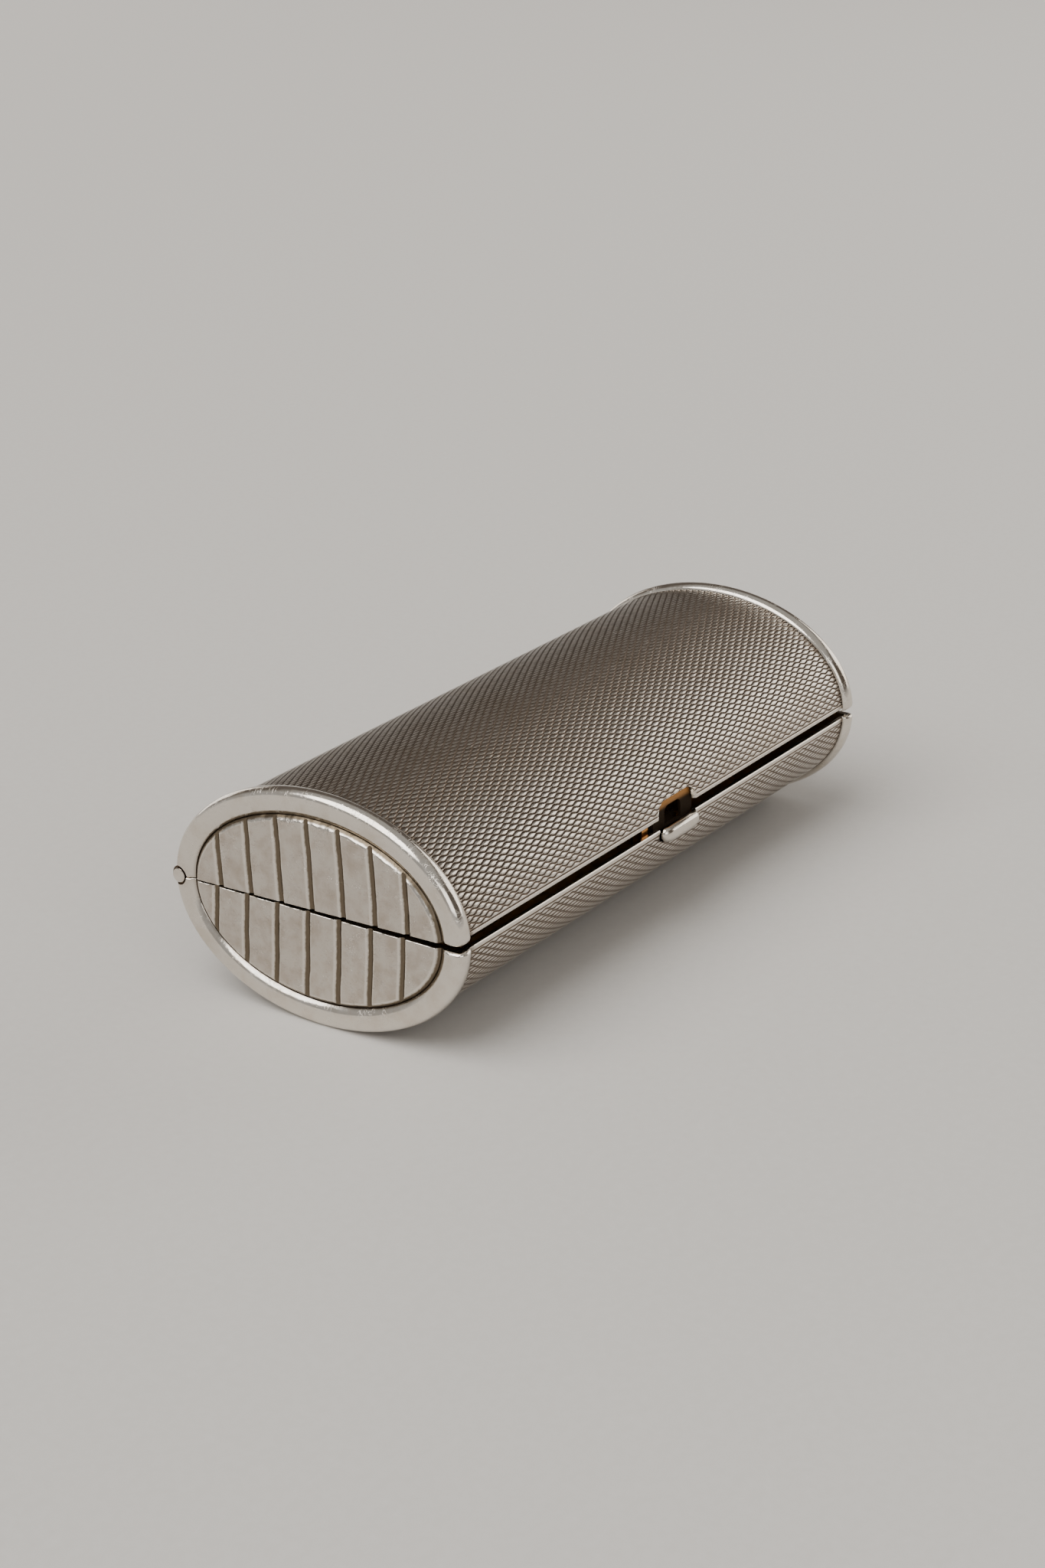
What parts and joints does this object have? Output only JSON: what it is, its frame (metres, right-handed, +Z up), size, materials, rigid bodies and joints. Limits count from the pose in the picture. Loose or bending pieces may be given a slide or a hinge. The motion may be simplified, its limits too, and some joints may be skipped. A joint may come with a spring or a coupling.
{
  "type": "lipstick case",
  "caption": "Oval silver lipstick case with an engine-turned body, ribbed ends, a full-length rear hinge, a push-piece catch, spring clips and a mirror in the lid.",
  "frame": {"origin": "on the resting plane, under the middle of the case's length and width", "axes": "+X along the case towards its far end, -Y towards the front with the catch, +Z up"},
  "size_m": [0.0872, 0.0406, 0.0277],
  "materials": {
    "engine_turned_silver": "engine-turned barleycorn, worn",
    "polished_silver": "polished, fine scratches",
    "ribbed_silver": "satin with tarnished grooves",
    "gilt": "satin gilding",
    "mirror": "silvered glass",
    "backing": "felt"
  },
  "bodies": {
    "base": {"base_shell": "engine_turned_silver", "base_rim_near": "polished_silver", "base_rim_far": "polished_silver", "base_panel_near": "ribbed_silver", "base_panel_far": "ribbed_silver", "base_knuckle_near": "polished_silver", "base_knuckle_middle": "polished_silver", "base_knuckle_far": "polished_silver", "hinge_pin": "polished_silver", "lipstick_clip_near": "gilt", "lipstick_clip_far": "gilt", "clip_rivets": "gilt", "catch_spring": "gilt", "catch_anchor": "gilt", "catch_rivets": "gilt"},
    "lid": {"lid_shell": "engine_turned_silver", "lid_rim_near": "polished_silver", "lid_rim_far": "polished_silver", "lid_panel_near": "ribbed_silver", "lid_panel_far": "ribbed_silver", "lid_knuckle_near": "polished_silver", "lid_knuckle_far": "polished_silver", "catch_keeper": "gilt", "mirror_frame": "gilt", "mirror_glass": "mirror", "mirror_backing": "backing"},
    "push": {"push_piece": "polished_silver", "push_flange": "gilt"}
  },
  "joints": [
    {"name": "lid_hinge", "type": "hinge", "parent": "base", "child": "lid", "pos_m": [0, 0.0192, 0.01362], "axis": [-1, 0, 0], "range_deg": [-0.9, 99.1]},
    {"name": "push_slide", "type": "slide", "parent": "base", "child": "push", "axis": [0, 1, 0], "range_m": [0, 0.0008], "stiffness_N_per_m": 800, "springref_m": -0.0005, "deforming": ["catch_spring"]}
  ]
}
